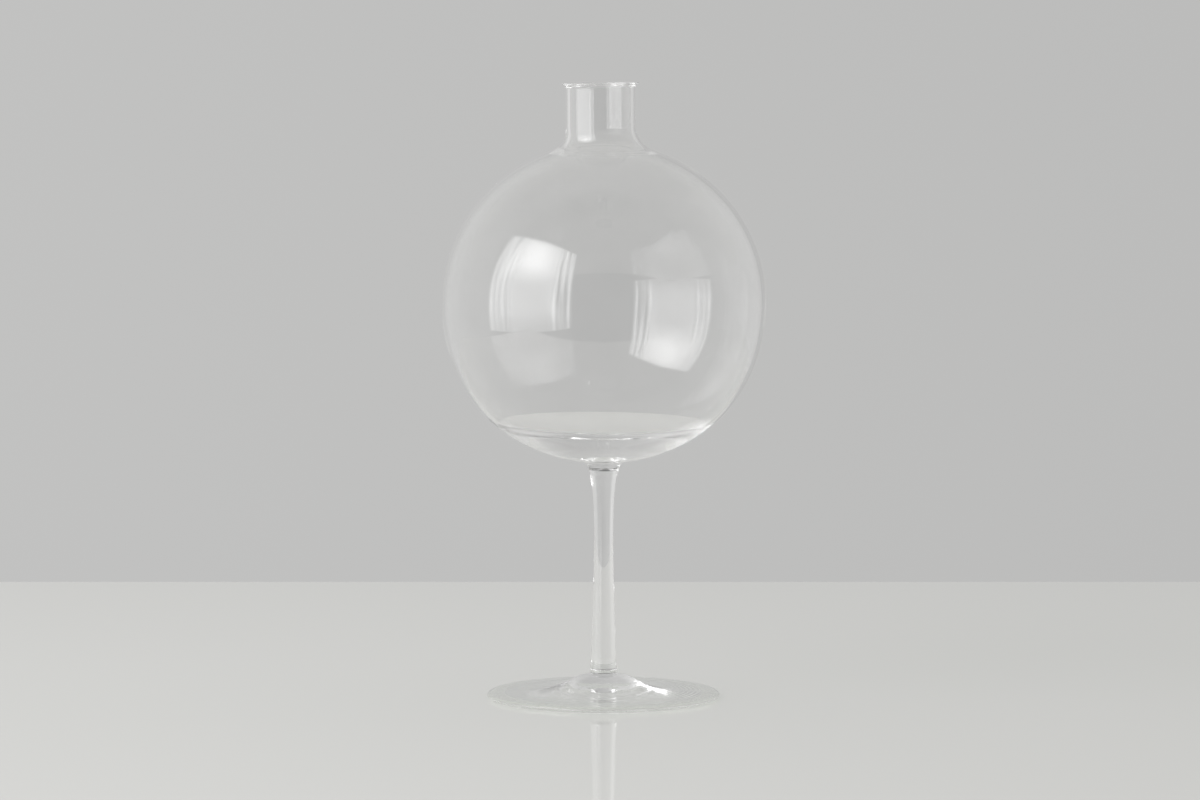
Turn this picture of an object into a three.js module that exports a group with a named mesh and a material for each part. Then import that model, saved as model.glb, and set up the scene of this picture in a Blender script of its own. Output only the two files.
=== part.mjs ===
// A clear glass globe vase on a drawn stem and a round foot: seven pieces of glass, sealed end to end.
// Millimetres, +Z up. The origin is on the vase's axis, in the plane that the foot stands on.
// Every piece is turned about that axis, so each is an outline of (radius, height) points and a lathe.
import * as THREE from "three";

// Fineness of the facets.
const RADIAL_SEGMENTS = 40;
const GLOBE_STEPS = 18; // along each of the globe's two walls
const BOWL_STEPS = 4; // along the bowl at the cavity's bottom
const CURVE_STEPS_PER_SPAN = 2; // along the drawn curves of collar, stem and foot
const ROUNDING_STEPS = 3; // round a small edge

// Heights of the flat faces where one piece meets the next.
const LIP_TOP_Z = 285.6;
const NECK_FOOT_Z = 264.0;
const BUTTON_TOP_Z = 109.9;
const STEM_TOP_Z = 107.0;
const STEM_FOOT_Z = 11.4;
const FOOT_TOP_Z = 10.2;

// Neck: a straight tube with a thin lip turned out at its top.
const NECK_RADIUS = 16.1;
const WALL = 1.8;
const BORE_RADIUS = NECK_RADIUS - WALL;
const LIP_FLARE = 1.7;
const LIP_HEIGHT = 2.4;
const LIP_ROUNDING = 0.4;

// Globe: two spheroids, one wall thickness apart. Below the equator they are a little deeper and fuller than
// above it, as blown glass sags. The cavity ends in a shallow bowl of thick glass.
const GLOBE_CENTRE_Z = 184.1;
const OUTER = { equator: 75.0, upperHeight: 73.8, lowerHeight: 74.8 };
const CAVITY = {
  equator: OUTER.equator - WALL,
  upperHeight: OUTER.upperHeight - WALL,
  lowerHeight: OUTER.lowerHeight - WALL,
};
const FULLNESS = 0.022;
const SEAT_RADIUS = 10.2; // of the flat at the globe's bottom, on which the upper button sits
const BOWL_RADIUS = 47.0;
const BOWL_BOTTOM_Z = 119.0;

// Collar: the flared ring that seals the neck to the globe. It leaves the neck upright and meets the globe
// at the globe's own slope. Its seam with the globe is a cone across the wall.
const SEAM_OUTER_RADIUS = 25.5;
const SEAM_INNER_RADIUS = 24.5;

// Buttons: the pads of glass at the two ends of the stem.
const UPPER_BUTTON_RADIUS = 9.9;
const LOWER_BUTTON_RADIUS = 10.3;

// Stem: a solid rod, thinnest above its middle, with flared ends.
const STEM_TOP_RADIUS = 7.15;
const STEM_WAIST_RADIUS = 4.5;
const STEM_FOOT_RADIUS = 6.5;
const STEM_TOP_ROUNDING = 0.3;
const STEM_FOOT_ROUNDING = 0.9;
const STEM_FOOT_FACE_RADIUS = STEM_FOOT_RADIUS - STEM_FOOT_ROUNDING;

// Foot: a disc that rises to the stem. Its underside is hollow, so it stands on a flat ring near its edge.
const FOOT_RADIUS = 54.1;
const FOOT_EDGE_HEIGHT = 2.4;
const RING_OUTER_RADIUS = 52.6;
const RING_INNER_RADIUS = 46.0;
const UNDERSIDE_HOLLOW = 1.2;

const CLEAR_GLASS = 0xdde2e1;
const THICK_GLASS = 0xd2d8d8;

const point = (radius, z) => new THREE.Vector2(radius, z);

// A smooth line through a few points.
function drawn(points) {
  return new THREE.SplineCurve(points).getPoints(CURVE_STEPS_PER_SPAN * (points.length - 1));
}

// A rounded edge that leaves the first point along the axis and reaches the second along a radius.
function roundedFromSide(from, to) {
  return new THREE.QuadraticBezierCurve(from, point(from.x, to.y), to).getPoints(ROUNDING_STEPS);
}

// The same the other way round: it leaves the first point along a radius.
function roundedFromFace(from, to) {
  return new THREE.QuadraticBezierCurve(from, point(to.x, from.y), to).getPoints(ROUNDING_STEPS);
}

// The point on a spheroid's upper half at a radius.
function onUpperHalf(spheroid, radius) {
  const share = Math.sqrt(1 - (radius / spheroid.equator) ** 2);
  return point(radius, GLOBE_CENTRE_Z + spheroid.upperHeight * share);
}

// The point on a spheroid at an angle from its top.
function onSpheroid(spheroid, angle) {
  const below = Math.max(0, angle - Math.PI / 2);
  const fuller = 1 + FULLNESS * Math.sin(2 * below) ** 2 * Math.cos(below);
  const height = below > 0 ? spheroid.lowerHeight : spheroid.upperHeight;
  const radius = spheroid.equator * Math.sin(angle) * fuller;
  return point(radius, GLOBE_CENTRE_Z + height * Math.cos(angle) * fuller);
}

// A spheroid's outline, down from a radius on its upper half to about a radius on its lower half.
function downSpheroid(spheroid, upperRadius, lowerRadius) {
  const from = Math.asin(upperRadius / spheroid.equator);
  const to = Math.PI - Math.asin(lowerRadius / spheroid.equator);
  return Array.from({ length: GLOBE_STEPS + 1 }, (_, i) => {
    return onSpheroid(spheroid, from + ((to - from) * i) / GLOBE_STEPS);
  });
}

// The outline with its repeated points left out.
function withoutRepeats(outline) {
  return outline.filter((p, i) => i === 0 || p.distanceTo(outline[i - 1]) > 1e-6);
}

// A piece of glass turned about the vase's axis. The outline runs with the glass on its left.
function turned(name, colour, outline) {
  const geometry = new THREE.LatheGeometry(withoutRepeats(outline), RADIAL_SEGMENTS);
  geometry.rotateX(Math.PI / 2);
  const material = new THREE.MeshStandardMaterial({ color: colour, roughness: 0.02, metalness: 0 });
  const mesh = new THREE.Mesh(geometry, material);
  mesh.name = name;
  return mesh;
}

function neckTube() {
  const lipOuter = NECK_RADIUS + LIP_FLARE;
  const lipInner = BORE_RADIUS + LIP_FLARE;
  const flareFootZ = LIP_TOP_Z - LIP_HEIGHT;
  const lipSideZ = LIP_TOP_Z - LIP_ROUNDING;
  const outsideFlare = roundedFromSide(point(NECK_RADIUS, flareFootZ), point(lipOuter, lipSideZ));
  const insideFlare = roundedFromSide(point(BORE_RADIUS, flareFootZ), point(lipInner, lipSideZ));
  const outline = [
    point(NECK_RADIUS, NECK_FOOT_Z),
    ...outsideFlare,
    ...roundedFromSide(point(lipOuter, lipSideZ), point(lipOuter - LIP_ROUNDING, LIP_TOP_Z)),
    ...roundedFromFace(point(lipInner + LIP_ROUNDING, LIP_TOP_Z), point(lipInner, lipSideZ)),
    ...insideFlare.reverse(),
    point(BORE_RADIUS, NECK_FOOT_Z),
    point(NECK_RADIUS, NECK_FOOT_Z),
  ];
  return turned("neck_tube", CLEAR_GLASS, outline);
}

function neckCollar() {
  const seamOuter = onUpperHalf(OUTER, SEAM_OUTER_RADIUS);
  const seamInner = onUpperHalf(CAVITY, SEAM_INNER_RADIUS);
  const outside = drawn([
    seamOuter,
    point(23.0, 254.6),
    point(20.6, 256.0),
    point(18.6, 257.7),
    point(17.2, 259.7),
    point(16.4, 261.9),
    point(NECK_RADIUS, NECK_FOOT_Z),
  ]);
  const inside = drawn([
    point(BORE_RADIUS, NECK_FOOT_Z),
    point(14.6, 261.1),
    point(15.6, 258.4),
    point(17.2, 256.2),
    point(19.3, 254.4),
    point(21.9, 253.0),
    seamInner,
  ]);
  return turned("neck_collar", CLEAR_GLASS, [...outside, ...inside, seamOuter]);
}

// The bowl at the cavity's bottom: an arc from the cavity's wall in to the axis, where it lies level.
function bowl(rim) {
  const depth = rim.y - BOWL_BOTTOM_Z;
  const sphereRadius = (rim.x ** 2 + depth ** 2) / (2 * depth);
  return Array.from({ length: BOWL_STEPS }, (_, i) => {
    const radius = rim.x * (1 - (i + 1) / BOWL_STEPS);
    return point(radius, BOWL_BOTTOM_Z + sphereRadius - Math.sqrt(sphereRadius ** 2 - radius ** 2));
  });
}

function globe() {
  const outside = downSpheroid(OUTER, SEAM_OUTER_RADIUS, SEAT_RADIUS);
  const inside = downSpheroid(CAVITY, SEAM_INNER_RADIUS, BOWL_RADIUS);
  // The lathe needs its lowest outer points exactly on the button's face.
  outside[GLOBE_STEPS].y = BUTTON_TOP_Z;
  const outline = [point(0, BUTTON_TOP_Z), ...outside.reverse(), ...inside, ...bowl(inside[GLOBE_STEPS])];
  return turned("globe", CLEAR_GLASS, outline);
}

function upperButton() {
  const side = drawn([
    point(STEM_TOP_RADIUS, STEM_TOP_Z),
    point(7.4, 107.7),
    point(8.2, 108.8),
    point(UPPER_BUTTON_RADIUS, BUTTON_TOP_Z),
  ]);
  return turned("upper_button", THICK_GLASS, [point(0, STEM_TOP_Z), ...side, point(0, BUTTON_TOP_Z)]);
}

function stem() {
  const lowerEdge = point(STEM_FOOT_RADIUS, STEM_FOOT_Z + STEM_FOOT_ROUNDING);
  const upperEdge = point(STEM_TOP_RADIUS, STEM_TOP_Z - STEM_TOP_ROUNDING);
  const side = drawn([
    lowerEdge,
    point(5.9, 16.5),
    point(5.65, 23.0),
    point(5.25, 38.0),
    point(4.7, 57.0),
    point(STEM_WAIST_RADIUS, 74.0),
    point(4.75, 88.0),
    point(5.3, 97.0),
    point(6.1, 102.0),
    upperEdge,
  ]);
  const outline = [
    point(0, STEM_FOOT_Z),
    ...roundedFromFace(point(STEM_FOOT_FACE_RADIUS, STEM_FOOT_Z), lowerEdge),
    ...side,
    ...roundedFromSide(upperEdge, point(STEM_TOP_RADIUS - STEM_TOP_ROUNDING, STEM_TOP_Z)),
    point(0, STEM_TOP_Z),
  ];
  return turned("stem", THICK_GLASS, outline);
}

function lowerButton() {
  const side = drawn([
    point(LOWER_BUTTON_RADIUS, FOOT_TOP_Z),
    point(8.6, 10.5),
    point(7.1, 10.9),
    point(STEM_FOOT_FACE_RADIUS, STEM_FOOT_Z),
  ]);
  return turned("lower_button", THICK_GLASS, [point(0, FOOT_TOP_Z), ...side, point(0, STEM_FOOT_Z)]);
}

function foot() {
  const edge = point(FOOT_RADIUS, FOOT_EDGE_HEIGHT / 2);
  const upperEdge = point(RING_OUTER_RADIUS, FOOT_EDGE_HEIGHT);
  const underside = drawn([
    point(0, UNDERSIDE_HOLLOW),
    point(20, 1.0),
    point(36, 0.5),
    point(RING_INNER_RADIUS, 0),
  ]);
  const upperSide = drawn([
    upperEdge,
    point(44, 2.9),
    point(34, 3.5),
    point(26, 4.4),
    point(20.4, 5.7),
    point(16, 7.6),
    point(12.8, 9.3),
    point(LOWER_BUTTON_RADIUS, FOOT_TOP_Z),
  ]);
  const outline = [
    ...underside,
    ...roundedFromFace(point(RING_OUTER_RADIUS, 0), edge),
    ...roundedFromSide(edge, upperEdge),
    ...upperSide,
    point(0, FOOT_TOP_Z),
  ];
  return turned("foot", THICK_GLASS, outline);
}

const vase = new THREE.Group();
vase.add(neckTube(), neckCollar(), globe(), upperButton(), stem(), lowerButton(), foot());

export default vase;
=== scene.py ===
"""A clear glass globe vase on a drawn stem, dressed for its render.

Every CAD node is replaced by a finely turned piece of glass of the same outline, with the slight unevenness
of hand work: the neck sits a little to one side, the lip and the bowl inside the globe tilt, and the foot
has faint rings. Faces where two pieces are fused together are invisible, as they are in the real glass.
Lengths of the vase are in millimetres until its meshes are made; the stage is in metres.
"""

import math

import bpy
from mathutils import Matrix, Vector

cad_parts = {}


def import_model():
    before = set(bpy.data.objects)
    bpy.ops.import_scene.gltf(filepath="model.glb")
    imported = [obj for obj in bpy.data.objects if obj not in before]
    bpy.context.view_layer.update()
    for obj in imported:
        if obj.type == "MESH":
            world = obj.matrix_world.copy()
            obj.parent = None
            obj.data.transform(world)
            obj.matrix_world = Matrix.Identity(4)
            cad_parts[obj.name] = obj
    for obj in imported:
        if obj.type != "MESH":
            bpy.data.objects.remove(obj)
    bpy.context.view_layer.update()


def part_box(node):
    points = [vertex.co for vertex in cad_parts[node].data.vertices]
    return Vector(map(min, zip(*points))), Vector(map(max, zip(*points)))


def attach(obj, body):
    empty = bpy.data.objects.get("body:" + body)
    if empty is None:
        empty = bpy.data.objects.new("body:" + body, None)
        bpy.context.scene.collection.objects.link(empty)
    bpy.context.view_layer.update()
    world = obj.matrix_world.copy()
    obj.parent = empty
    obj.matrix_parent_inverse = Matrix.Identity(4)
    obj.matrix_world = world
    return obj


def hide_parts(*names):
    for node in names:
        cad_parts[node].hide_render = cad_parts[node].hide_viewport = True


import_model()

MM = 0.001
BODY = "root"

# Fineness of the meshes. Curved glass shows every facet, so it is fine.
AROUND = 384
CURVE_STEPS = 12
FOOT_CURVE_STEPS = 32
GLOBE_STEPS = 180
BOWL_STEPS = 64
ROUNDING_STEPS = 12
SHARP_ANGLE = 20.0
TOUCHING = 1e-6  # points nearer than this are one, in millimetres
RIM_PRECISION = 1e-5

# Neck. Most heights and outer radii come from the frame.
WALL = 1.8
LIP_FLARE = 1.7
LIP_HEIGHT = 2.4
LIP_ROUNDING = 0.45
SEAM_INNER_RADIUS = 24.5

# Globe, and the bowl of thick glass at the bottom of its cavity.
GLOBE_CENTRE_Z = 184.1
GLOBE_RADIUS = 75.0
GLOBE_UPPER_HEIGHT = 73.8
GLOBE_LOWER_HEIGHT = 74.8
GLOBE_FULLNESS = 0.022
SEAT_RADIUS = 10.2
BOWL_RADIUS = 47.0
BOWL_BOTTOM_Z = 119.0
BOWL_FILLET = 3.0
BOWL_REACH = 8.0  # how far the tilt may move the rim in or out

# Stem and foot.
STEM_FOOT_RADIUS = 6.5
STEM_ROUNDING = 0.9
# How far the darker grey glass reaches either side of the stem's top, and up from its foot, in millimetres.
STEM_TOP_DARK_BAND = 0.75
STEM_FOOT_DARK_BAND = 0.6
RING_OUTER_RADIUS = 52.6
RING_INNER_RADIUS = 46.0
UNDERSIDE_HOLLOW = 1.2
FOOT_EDGE_HEIGHT = 2.4

# The unevenness of hand work, in millimetres and degrees.
NECK_SHIFT = -1.5
NECK_BEND = (253, 266)  # the heights between which the neck leaves the globe's axis
LIP_TILT = 1.0
BOWL_TILT = 0.25
BOWL_FRONT_TILT = 0.9
RIPPLE_HEIGHT = 0.025
RIPPLE_LENGTH = 2.1
RIPPLE_START = (20, 30)  # the radii between which the foot's rings rise
RIPPLE_END = (48, 52)  # and between which they fade
RIPPLE_SIDE = (0.1, 0.6)  # the cosines of azimuth between which they rise, to the right

# The kinds of face that a piece has, in the order of its material slots.
GLASS, FUSED, DARK_JOINT = 0, 1, 2

# Glass: its grey tint at two noise values, clear nearly everywhere and a darker, mottled grey round the
# joints.
GLASS_IOR = 1.5
GLASS_BOUNCES = 400
TINT_DETAIL = 2
CLEAR_LEVELS = [(0.3, 0.97), (0.6, 0.985)]
CLEAR_SCALE = 60
JOINT_LEVELS = [(0.52, 0.35), (0.62, 0.95)]
JOINT_SCALE = 420
SHADOW_TINT = (0.91, 0.92, 0.91)
WAVE_HEIGHT = 0.02
WAVE_SCALE = 40
WAVE_DETAIL = 0
WAVE_LEVELS = [(0.3, 0), (0.7, 1)]

# The tabletop's left, right, front and back edges, and its polish.
TABLE = (-0.69, 0.9, -0.51, 0.45)
TABLE_COLOUR = (0.98, 0.98, 0.95)
TABLE_ROUGHNESS = 0.05
TABLE_IOR = 2.6

# The room: its wall's colour, and its brightness from the camera's side (0) to behind the vase (1).
WALL_LIGHT = (0.520, 0.520, 0.515)
ROOM_LEVELS = [
    (0, 0.48), (0.05, 0.5), (0.1, 0.8), (0.4, 1.0), (0.55, 1.38), (0.9, 1.32), (0.97, 1.0), (1, 1.0),
]
SIDE_FALL = 0.06
SIDE_SPREAD = 0.3
CEILING_LEVEL = 0.7
CEILING_START = 0.2

# The window: degrees to the left of the way to the camera, heights above the globe's centre.
WINDOW_AZIMUTH = 56
WINDOW_DISTANCE = 2.4
WINDOW_WIDTH = 3.25
WINDOW_LOW = -0.62
WINDOW_HIGH = 2.3
WINDOW_RADIANCE = 2.2
# The curtain, in shares of the window's height, or of its width out from the middle: its soft edges, its
# brightest part (the core) and its folds.
SIDE_EDGE = (0.45, 0.5)
SILL_EDGE = (0, 0.2)
SILL_LEVEL = 0.5
TOP_EDGE = (0.93, 1)
CORE_GAIN = 1.3
CORE_HEIGHT = 0.73
CORE_ACROSS = (0.02, 0.42)
CORE_UP = (0.06, 0.36)
FOLD_SCALE = (24.0, 1.3)
FOLD_DEPTH = 4.0
FOLD_START = (0.12, 0.3)

CAMERA_SENSOR = 36.0
CAMERA_PLACE = (-0.0017, -2.504, 0.3534)
CAMERA_DOWN = 4.9
CAMERA_LENS = 162.6


# --- Outlines: lists of (radius, height) in millimetres ---------------------------------------------


def height_range(node):
    """The lowest and highest level of a CAD node, in millimetres."""
    low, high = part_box(node)
    return low.z / MM, high.z / MM


def widest(node):
    """The largest radius of a CAD node, in millimetres."""
    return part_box(node)[1].x / MM


def smooth(value, start, end):
    """0 before start, 1 after end, with a soft rise between them."""
    share = min(max((value - start) / (end - start), 0), 1)
    return share * share * (3 - 2 * share)


def drawn(points, steps=CURVE_STEPS):
    """A smooth line through a few points (Catmull-Rom)."""
    out = []
    last = len(points) - 1
    for i in range(last):
        p0, p1, p2, p3 = (points[min(max(j, 0), last)] for j in (i - 1, i, i + 1, i + 2))
        for k in range(steps):
            t = k / steps
            out.append(tuple(
                0.5 * (2 * b + (c - a) * t + (2 * a - 5 * b + 4 * c - d) * t * t
                       + (3 * b - a - 3 * c + d) * t ** 3)
                for a, b, c, d in zip(p0, p1, p2, p3)
            ))
    out.append(tuple(points[last]))
    return out


def quarter(start, end, along_radius_first):
    """A quarter of an ellipse between two points."""
    (r0, z0), (r1, z1) = start, end
    out = []
    for k in range(ROUNDING_STEPS + 1):
        a = math.pi / 2 * k / ROUNDING_STEPS
        near, far = math.sin(a), 1 - math.cos(a)
        if along_radius_first:
            out.append((r0 + (r1 - r0) * near, z0 + (z1 - z0) * far))
        else:
            out.append((r0 + (r1 - r0) * far, z0 + (z1 - z0) * near))
    return out


def on_globe(inset, angle):
    """The point of the globe's wall at an angle from its top. Below the equator it is deeper and fuller."""
    below = max(0.0, angle - math.pi / 2)
    fuller = 1 + GLOBE_FULLNESS * math.sin(2 * below) ** 2 * math.cos(below)
    half_height = GLOBE_LOWER_HEIGHT if below > 0 else GLOBE_UPPER_HEIGHT
    radius = (GLOBE_RADIUS - inset) * math.sin(angle) * fuller
    return radius, GLOBE_CENTRE_Z + (half_height - inset) * math.cos(angle) * fuller


def spheroid(inset, upper_radius, lower_radius, steps=GLOBE_STEPS):
    """The globe's wall, an inset inside its outer face, down from one radius to about another."""
    start = math.asin(upper_radius / (GLOBE_RADIUS - inset))
    end = math.pi - math.asin(lower_radius / (GLOBE_RADIUS - inset))
    return [on_globe(inset, start + (end - start) * k / steps) for k in range(steps + 1)]


def wall_height(radius):
    """The height of the cavity's wall at a radius, below the equator."""
    return spheroid(WALL, radius, radius)[-1][1]


def bowl_height(radius, azimuth):
    """The height of the bowl's floor, which tilts a little to the front and to the right."""
    lean = math.sin(azimuth) * math.tan(math.radians(BOWL_FRONT_TILT))
    lean -= math.cos(azimuth) * math.tan(math.radians(BOWL_TILT))
    rise = (wall_height(BOWL_RADIUS) - BOWL_BOTTOM_Z) * (radius / BOWL_RADIUS) ** 2
    return BOWL_BOTTOM_Z + rise + lean * radius


def rim_radius(azimuth):
    """The radius at which the bowl's floor meets the cavity's wall."""
    inner = BOWL_RADIUS - BOWL_REACH
    outer = BOWL_RADIUS + BOWL_REACH
    while outer - inner > RIM_PRECISION:
        middle = (inner + outer) / 2
        if wall_height(middle) < bowl_height(middle, azimuth):
            inner = middle
        else:
            outer = middle
    return middle


def bend(start, corner, end):
    """The points of a rounded corner between its two ends (a quadratic Bezier curve)."""
    out = []
    for k in range(1, ROUNDING_STEPS):
        t = k / ROUNDING_STEPS
        out.append(tuple(
            (1 - t) ** 2 * a + 2 * t * (1 - t) * b + t ** 2 * c for a, b, c in zip(start, corner, end)
        ))
    return out


def cavity(azimuth):
    """The cavity's wall down to the bowl, a small rounded corner, then the bowl's floor in to the axis."""
    rim = rim_radius(azimuth)
    wall = spheroid(WALL, SEAM_INNER_RADIUS, rim + BOWL_FILLET)
    radii = [(rim - BOWL_FILLET) * (1 - k / BOWL_STEPS) for k in range(BOWL_STEPS + 1)]
    bowl = [(r, bowl_height(r, azimuth)) for r in radii]
    return wall + bend(wall[-1], (rim, wall_height(rim)), bowl[0]) + bowl


# --- Meshes ---------------------------------------------------------------------------------------------


def uneven(v):
    """A point of the true round vase, moved to where hand work has left it."""
    off_axis = smooth(v.z, *NECK_BEND)
    tilted = smooth(v.z, NECK_BEND[1], lip_top)
    lifted = v.x * math.tan(math.radians(LIP_TILT)) * tilted
    moved = Vector((v.x + NECK_SHIFT * off_axis, v.y, v.z + lifted))
    radius = math.hypot(v.x, v.y)
    if FOOT_EDGE_HEIGHT <= v.z < foot_top:
        share = smooth(radius, *RIPPLE_START) * (1 - smooth(radius, *RIPPLE_END))
        share *= smooth(v.x / radius, *RIPPLE_SIDE)
        moved.z += RIPPLE_HEIGHT * share * math.sin(2 * math.pi * radius / RIPPLE_LENGTH)
    return moved


def outline_at(runs, azimuth):
    """The whole outline at an azimuth and the kind of each span. A run that isn't round is a function."""
    points = []
    kinds = []
    for run, kind in runs:
        for p in run(azimuth) if callable(run) else run:
            if points and math.dist(points[-1], p) < TOUCHING:
                continue
            if points:
                kinds.append(kind)
            points.append(p)
    return points, kinds


def band(low, high):
    """The faces between two rings of vertices. Either ring may be a single point on the axis."""
    faces = []
    for k in range(AROUND):
        n = (k + 1) % AROUND
        if len(low) == 1:
            faces.append((low[0], high[n], high[k]))
        elif len(high) == 1:
            faces.append((low[k], low[n], high[0]))
        else:
            faces.append((low[k], low[n], high[n], high[k]))
    return faces


def glass_piece(name, verts, faces, kinds):
    """A smooth object with its sharp edges kept. Each face's kind picks its material."""
    mesh = bpy.data.meshes.new(name)
    mesh.from_pydata([v * MM for v in verts], [], faces)
    for material in (glass, fused, dark_joint):
        mesh.materials.append(material)
    for polygon, kind in zip(mesh.polygons, kinds):
        polygon.material_index = kind
        polygon.use_smooth = True
    mesh.set_sharp_from_angle(angle=math.radians(SHARP_ANGLE))
    piece = bpy.data.objects.new(name, mesh)
    bpy.context.scene.collection.objects.link(piece)
    return piece


def lathe(name, runs):
    """A closed glass piece turned about the axis from runs of outline: (points, kind of face) each."""
    azimuths = [2 * math.pi * k / AROUND for k in range(AROUND)]
    outlines = [outline_at(runs, a)[0] for a in azimuths]
    points, kinds = outline_at(runs, 0)
    closed = math.dist(points[0], points[-1]) < TOUCHING
    verts = []
    rings = []
    for i in range(len(points) - (1 if closed else 0)):
        count = 1 if points[i][0] < TOUCHING else AROUND
        rings.append(list(range(len(verts), len(verts) + count)))
        for a, outline in list(zip(azimuths, outlines))[:count]:
            r, z = outline[i]
            verts.append(uneven(Vector((r * math.cos(a), r * math.sin(a), z))))
    spans = list(zip(rings, rings[1:])) + ([(rings[-1], rings[0])] if closed else [])
    faces = []
    face_kinds = []
    for (low, high), kind in zip(spans, kinds):
        faces += band(low, high)
        face_kinds += [kind] * AROUND
    return glass_piece(name, verts, faces, face_kinds)


# --- Materials ------------------------------------------------------------------------------------------


def noise_ramp(tree, scale, detail, levels):
    """A grey that follows 3-D noise, between two (noise value, grey) levels. Returns its output."""
    coords = tree.nodes.new("ShaderNodeTexCoord")
    noise = tree.nodes.new("ShaderNodeTexNoise")
    noise.inputs["Scale"].default_value = scale
    noise.inputs["Detail"].default_value = detail
    tree.links.new(coords.outputs["Object"], noise.inputs["Vector"])
    ramp = tree.nodes.new("ShaderNodeValToRGB")
    for stop, (position, level) in zip(ramp.color_ramp.elements, levels):
        stop.position = position
        stop.color = (level, level, level, 1)
    tree.links.new(noise.outputs["Fac"], ramp.inputs["Fac"])
    return ramp.outputs["Color"]


def glass_material(name, scale, levels):
    """Soda-lime glass, its tint and its faint waves driven by noise. Lamp light passes straight through."""
    mat = bpy.data.materials.new(name)
    mat.use_nodes = True
    tree = mat.node_tree
    shader = tree.nodes["Principled BSDF"]
    shader.inputs["Roughness"].default_value = 0.0
    shader.inputs["IOR"].default_value = GLASS_IOR
    shader.inputs["Transmission Weight"].default_value = 1.0
    tree.links.new(noise_ramp(tree, scale, TINT_DETAIL, levels), shader.inputs["Base Color"])
    waves = tree.nodes.new("ShaderNodeBump")
    waves.inputs["Strength"].default_value = 1.0
    waves.inputs["Distance"].default_value = WAVE_HEIGHT * MM
    tree.links.new(noise_ramp(tree, WAVE_SCALE, WAVE_DETAIL, WAVE_LEVELS), waves.inputs["Height"])
    tree.links.new(waves.outputs["Normal"], shader.inputs["Normal"])
    clear = tree.nodes.new("ShaderNodeBsdfTransparent")
    clear.inputs["Color"].default_value = (*SHADOW_TINT, 1)
    path = tree.nodes.new("ShaderNodeLightPath")
    lighting = tree.nodes.new("ShaderNodeMath")
    lighting.operation = "MAXIMUM"
    tree.links.new(path.outputs["Is Shadow Ray"], lighting.inputs[0])
    tree.links.new(path.outputs["Is Diffuse Ray"], lighting.inputs[1])
    mix = tree.nodes.new("ShaderNodeMixShader")
    tree.links.new(lighting.outputs["Value"], mix.inputs["Fac"])
    tree.links.new(shader.outputs["BSDF"], mix.inputs[1])
    tree.links.new(clear.outputs["BSDF"], mix.inputs[2])
    tree.links.new(mix.outputs["Shader"], tree.nodes["Material Output"].inputs["Surface"])
    return mat


def fused_material():
    """The face between two fused pieces, where light passes as if there were no face."""
    mat = bpy.data.materials.new("fused_seam")
    mat.use_nodes = True
    tree = mat.node_tree
    tree.nodes.remove(tree.nodes["Principled BSDF"])
    clear = tree.nodes.new("ShaderNodeBsdfTransparent")
    tree.links.new(clear.outputs["BSDF"], tree.nodes["Material Output"].inputs["Surface"])
    return mat


glass = glass_material("clear_glass", CLEAR_SCALE, CLEAR_LEVELS)
fused = fused_material()
# Darker, mottled grey glass, used on the faces next to the stem's two joints.
dark_joint = glass_material("dark_joint_glass", JOINT_SCALE, JOINT_LEVELS)


# --- Pieces ---------------------------------------------------------------------------------------------

neck_foot, lip_top = height_range("neck_tube")
button_top = height_range("upper_button")[1]
stem_foot, stem_top = height_range("stem")
foot_top = height_range("foot")[1]
lip_radius = widest("neck_tube")
neck_radius = lip_radius - LIP_FLARE
bore_radius = neck_radius - WALL
seam_radius = widest("neck_collar")
upper_button_radius = widest("upper_button")
lower_button_radius = widest("lower_button")
foot_radius = widest("foot")


def neck_tube():
    """A straight tube with a thin lip turned out at its top."""
    lip_inner = bore_radius + LIP_FLARE
    flare_foot = lip_top - LIP_HEIGHT
    lip_side = lip_top - LIP_ROUNDING
    outside_flare = quarter((neck_radius, flare_foot), (lip_radius, lip_side), False)
    inside_flare = quarter((bore_radius, flare_foot), (lip_inner, lip_side), False)
    lip = quarter((lip_radius, lip_side), (lip_radius - LIP_ROUNDING, lip_top), False)
    lip += quarter((lip_inner + LIP_ROUNDING, lip_top), (lip_inner, lip_side), True)
    outline = [(neck_radius, neck_foot)] + outside_flare + lip + inside_flare[::-1]
    outline.append((bore_radius, neck_foot))
    return lathe("neck_tube_glass", [(outline, GLASS), (outline[:1], FUSED)])


def neck_collar():
    """The flared ring that seals the neck to the globe."""
    seam_outer = spheroid(0, seam_radius, seam_radius)[0]
    seam_inner = spheroid(WALL, SEAM_INNER_RADIUS, SEAM_INNER_RADIUS)[0]
    outside = drawn([
        seam_outer, (23.0, 254.6), (20.6, 256.0), (18.6, 257.7), (17.2, 259.7), (16.4, 261.9),
        (neck_radius, neck_foot),
    ])
    inside = drawn([
        (bore_radius, neck_foot), (14.6, 261.1), (15.6, 258.4), (17.2, 256.2), (19.3, 254.4), (21.9, 253.0),
        seam_inner,
    ])
    return lathe("neck_collar_glass", [
        (outside, GLASS), (inside[:1], FUSED), (inside[1:], GLASS), (outside[:1], FUSED),
    ])


def globe():
    """A thin blown sphere with a thick bottom."""
    outside = spheroid(0, seam_radius, SEAT_RADIUS)[::-1]
    outside[0] = (upper_button_radius, button_top)
    return lathe("globe_glass", [
        ([(0, button_top), outside[0]], FUSED),
        (outside[1:], GLASS),
        (spheroid(WALL, SEAM_INNER_RADIUS, SEAM_INNER_RADIUS)[:1], FUSED),
        (cavity, GLASS),
    ])


def upper_button():
    """The pad of glass between globe and stem, its glass a darker grey where it meets the stem."""
    dark_band_top = (7.6, stem_top + STEM_TOP_DARK_BAND)
    side = drawn([dark_band_top, (8.2, stem_top + 1.9), (upper_button_radius, button_top)])
    return lathe("upper_button_glass", [
        ([(0, stem_top), (widest("stem"), stem_top)], FUSED),
        ([dark_band_top], DARK_JOINT),
        (side[1:], GLASS),
        ([(0, button_top)], FUSED),
    ])


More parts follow.
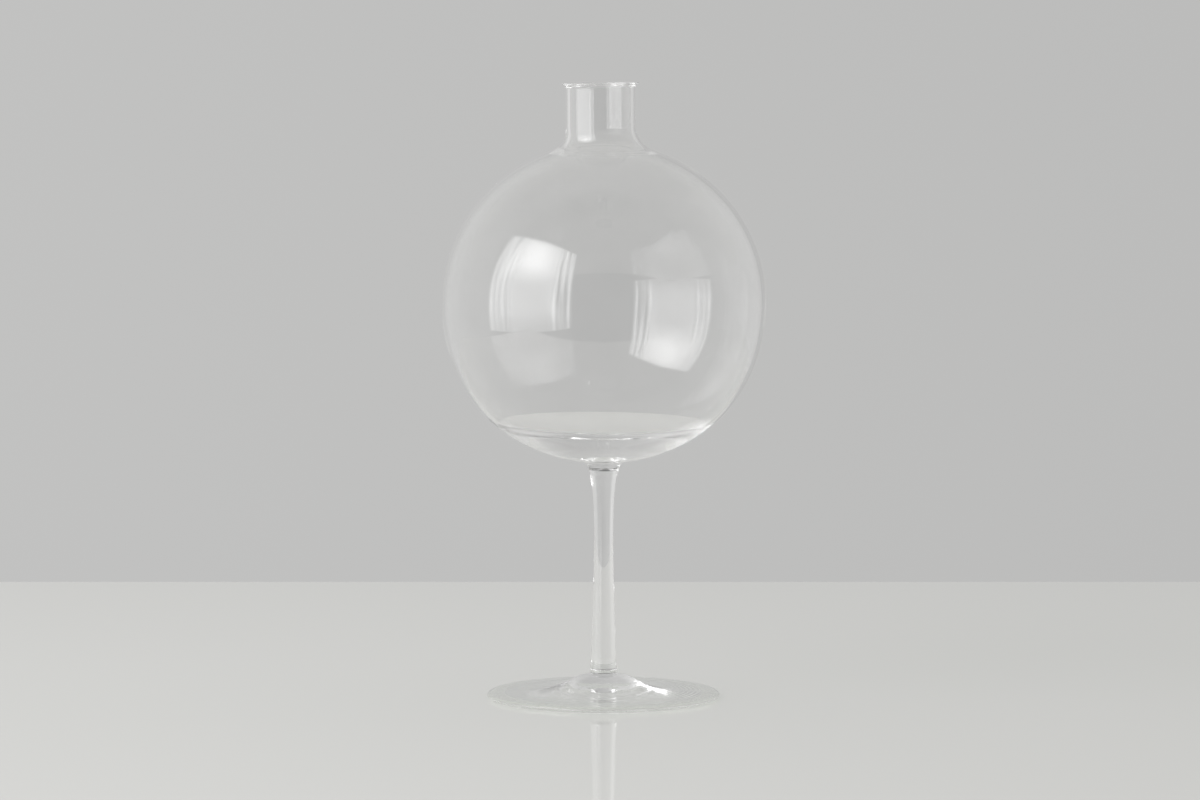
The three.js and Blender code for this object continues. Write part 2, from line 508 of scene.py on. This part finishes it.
def stem():
    """A solid drawn rod, thinnest above its middle, its glass a darker grey at its two ends."""
    lower_dark_end = (STEM_FOOT_RADIUS, stem_foot + STEM_FOOT_DARK_BAND)
    upper_dark_end = (6.95, stem_top - STEM_TOP_DARK_BAND)
    side = drawn([
        lower_dark_end, (5.9, 16.5), (5.65, 23.0), (5.25, 38.0), (4.7, 57.0), (4.5, 74.0), (4.75, 88.0),
        (5.3, 97.0), (6.1, 102.0), upper_dark_end,
    ])
    lower = quarter((STEM_FOOT_RADIUS - STEM_ROUNDING, stem_foot), lower_dark_end, True)
    return lathe("stem_glass", [
        ([(0, stem_foot), lower[0]], FUSED),
        (lower[1:], DARK_JOINT),
        (side[1:], GLASS),
        ([(widest("stem"), stem_top)], DARK_JOINT),
        ([(0, stem_top)], FUSED),
    ])


def lower_button():
    """The pad of glass between stem and foot."""
    radius = STEM_FOOT_RADIUS - STEM_ROUNDING
    side = drawn([
        (lower_button_radius, foot_top), (8.6, foot_top + 0.3), (7.1, foot_top + 0.7), (radius, stem_foot),
    ])
    return lathe("lower_button_glass", [
        ([(0, foot_top), side[0]], FUSED), (side[1:], GLASS), ([(0, stem_foot)], FUSED),
    ])


def foot():
    """A thin disc that rises to the stem and stands on a flat ring."""
    edge = (foot_radius, FOOT_EDGE_HEIGHT / 2)
    upper_edge = (RING_OUTER_RADIUS, FOOT_EDGE_HEIGHT)
    underside = drawn([(0, UNDERSIDE_HOLLOW), (20, 1.0), (36, 0.5), (RING_INNER_RADIUS, 0)])
    upper = drawn([
        upper_edge, (44, 2.9), (34, 3.5), (26, 4.4), (20.4, 5.7), (16, 7.6), (12.8, 9.3),
        (lower_button_radius, foot_top),
    ], FOOT_CURVE_STEPS)
    rim = quarter((RING_OUTER_RADIUS, 0), edge, True) + quarter(edge, upper_edge, False)
    return lathe("foot_glass", [(underside + rim + upper, GLASS), ([(0, foot_top)], FUSED)])


for make in (neck_tube, neck_collar, globe, upper_button, stem, lower_button, foot):
    piece = make()
    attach(piece, BODY)
    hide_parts(make.__name__)


# --- Stage ----------------------------------------------------------------------------------------------


def floor():
    """A plain pale tabletop with a polish."""
    left, right, front, back = TABLE
    corners = [(left, front, 0), (right, front, 0), (right, back, 0), (left, back, 0)]
    mesh = bpy.data.meshes.new("floor")
    mesh.from_pydata(corners, [], [(0, 1, 2, 3)])
    mat = bpy.data.materials.new("pale_floor")
    mat.use_nodes = True
    shader = mat.node_tree.nodes["Principled BSDF"]
    shader.inputs["Base Color"].default_value = (*TABLE_COLOUR, 1)
    shader.inputs["Roughness"].default_value = TABLE_ROUGHNESS
    shader.inputs["IOR"].default_value = TABLE_IOR
    mesh.materials.append(mat)
    plate = bpy.data.objects.new("floor", mesh)
    bpy.context.scene.collection.objects.link(plate)


def math_node(tree, operation, first, second):
    """A Math node fed by sockets or numbers. Returns its output."""
    made = tree.nodes.new("ShaderNodeMath")
    made.operation = operation
    for socket, value in zip(made.inputs, (first, second)):
        if isinstance(value, (int, float)):
            socket.default_value = value
        else:
            tree.links.new(value, socket)
    return made.outputs["Value"]


def soft_step(tree, value, start, end, low=0.0, high=1.0):
    """A smooth change from low to high while a value goes from start to end."""
    made = tree.nodes.new("ShaderNodeMapRange")
    made.interpolation_type = "SMOOTHSTEP"
    tree.links.new(value, made.inputs["Value"])
    made.inputs["From Min"].default_value = start
    made.inputs["From Max"].default_value = end
    made.inputs["To Min"].default_value = low
    made.inputs["To Max"].default_value = high
    return made.outputs["Result"]


def world():
    """A grey room: a plain wall behind the vase, lighter side walls, a darker ceiling and camera's side.

    The left is a little lighter than the right.
    """
    w = bpy.data.worlds.new("studio")
    bpy.context.scene.world = w
    w.use_nodes = True
    tree = w.node_tree
    coords = tree.nodes.new("ShaderNodeTexCoord")
    parts = tree.nodes.new("ShaderNodeSeparateXYZ")
    tree.links.new(coords.outputs["Generated"], parts.inputs["Vector"])
    depth = tree.nodes.new("ShaderNodeMapRange")
    depth.inputs["From Min"].default_value = -1
    depth.inputs["From Max"].default_value = 1
    tree.links.new(parts.outputs["Y"], depth.inputs["Value"])
    room = tree.nodes.new("ShaderNodeValToRGB")
    room.color_ramp.interpolation = "EASE"
    stops = room.color_ramp.elements
    for position, level in ROOM_LEVELS:
        stop = stops[0] if position == 0 else stops[-1] if position == 1 else stops.new(position)
        stop.color = (level, level, level, 1)
    tree.links.new(depth.outputs["Result"], room.inputs["Fac"])
    side = soft_step(tree, parts.outputs["X"], -SIDE_SPREAD, SIDE_SPREAD, 1 + SIDE_FALL, 1 - SIDE_FALL)
    ceiling = soft_step(tree, parts.outputs["Z"], CEILING_START, 1, 1, CEILING_LEVEL)
    level = math_node(tree, "MULTIPLY", math_node(tree, "MULTIPLY", side, ceiling), room.outputs["Color"])
    background = tree.nodes["Background"]
    background.inputs["Color"].default_value = (*WALL_LIGHT, 1)
    tree.links.new(level, background.inputs["Strength"])


def curtain_folds(tree, across, up):
    """Noise about 0 that is stretched along the folds."""
    stretched = tree.nodes.new("ShaderNodeCombineXYZ")
    for name, value, scale in zip("XY", (across, up), FOLD_SCALE):
        tree.links.new(math_node(tree, "MULTIPLY", value, scale), stretched.inputs[name])
    noise = tree.nodes.new("ShaderNodeTexNoise")
    noise.inputs["Scale"].default_value = 1.0
    noise.inputs["Detail"].default_value = 1.0
    tree.links.new(stretched.outputs["Vector"], noise.inputs["Vector"])
    return math_node(tree, "SUBTRACT", noise.outputs["Fac"], 0.5)


def curtained(light):
    """Light through a net curtain: brightest above the middle, soft at the edges, folded at the sides."""
    light.use_nodes = True
    tree = light.node_tree
    place = tree.nodes.new("ShaderNodeNewGeometry")
    parts = tree.nodes.new("ShaderNodeSeparateXYZ")
    tree.links.new(place.outputs["Parametric"], parts.inputs["Vector"])
    across, up = parts.outputs["X"], parts.outputs["Y"]
    from_middle = math_node(tree, "ABSOLUTE", math_node(tree, "SUBTRACT", across, 0.5), 0)
    from_core = math_node(tree, "ABSOLUTE", math_node(tree, "SUBTRACT", up, CORE_HEIGHT), 0)
    sides = soft_step(tree, from_middle, *SIDE_EDGE, 1, 0)
    sill = soft_step(tree, up, *SILL_EDGE, SILL_LEVEL, 1)
    top = soft_step(tree, up, *TOP_EDGE, 1, 0)
    edges = math_node(tree, "MULTIPLY", sides, math_node(tree, "MULTIPLY", sill, top))
    core_across = soft_step(tree, from_middle, *CORE_ACROSS, CORE_GAIN, 0)
    core_up = soft_step(tree, from_core, *CORE_UP, 1, 0)
    core = math_node(tree, "MULTIPLY", core_across, core_up)
    depth = soft_step(tree, from_middle, *FOLD_START, 0, FOLD_DEPTH)
    folds = math_node(tree, "MULTIPLY", curtain_folds(tree, across, up), depth)
    level = math_node(tree, "ADD", math_node(tree, "ADD", core, folds), 1)
    level = math_node(tree, "MULTIPLY", level, edges)
    tree.links.new(level, tree.nodes["Emission"].inputs["Strength"])


def window():
    """An upright curtained window, facing the globe from the camera's left."""
    light = bpy.data.lights.new("window", "AREA")
    light.shape = "RECTANGLE"
    light.size = WINDOW_WIDTH
    light.size_y = WINDOW_HIGH - WINDOW_LOW
    light.energy = WINDOW_RADIANCE * math.pi * light.size * light.size_y
    curtained(light)
    lamp = bpy.data.objects.new("window", light)
    angle = math.radians(WINDOW_AZIMUTH)
    away = Vector((-math.sin(angle), -math.cos(angle), 0))
    middle = GLOBE_CENTRE_Z * MM + (WINDOW_LOW + WINDOW_HIGH) / 2
    lamp.location = away * WINDOW_DISTANCE + Vector((0, 0, middle))
    lamp.rotation_euler = away.to_track_quat("Z", "Y").to_euler()
    lamp.visible_camera = False
    bpy.context.scene.collection.objects.link(lamp)


def camera():
    """The camera, at the photograph's viewing angle."""
    cam = bpy.data.cameras.new("camera")
    cam.sensor_width = CAMERA_SENSOR
    cam.lens = CAMERA_LENS
    holder = bpy.data.objects.new("camera", cam)
    holder.location = CAMERA_PLACE
    holder.rotation_euler = (math.radians(90 - CAMERA_DOWN), 0, 0)
    bpy.context.scene.collection.objects.link(holder)
    bpy.context.scene.camera = holder


floor()
world()
window()
camera()

scene = bpy.context.scene
scene.view_settings.view_transform = "Standard"
for limit in ("max_bounces", "glossy_bounces", "transmission_bounces", "transparent_max_bounces"):
    setattr(scene.cycles, limit, GLASS_BOUNCES)
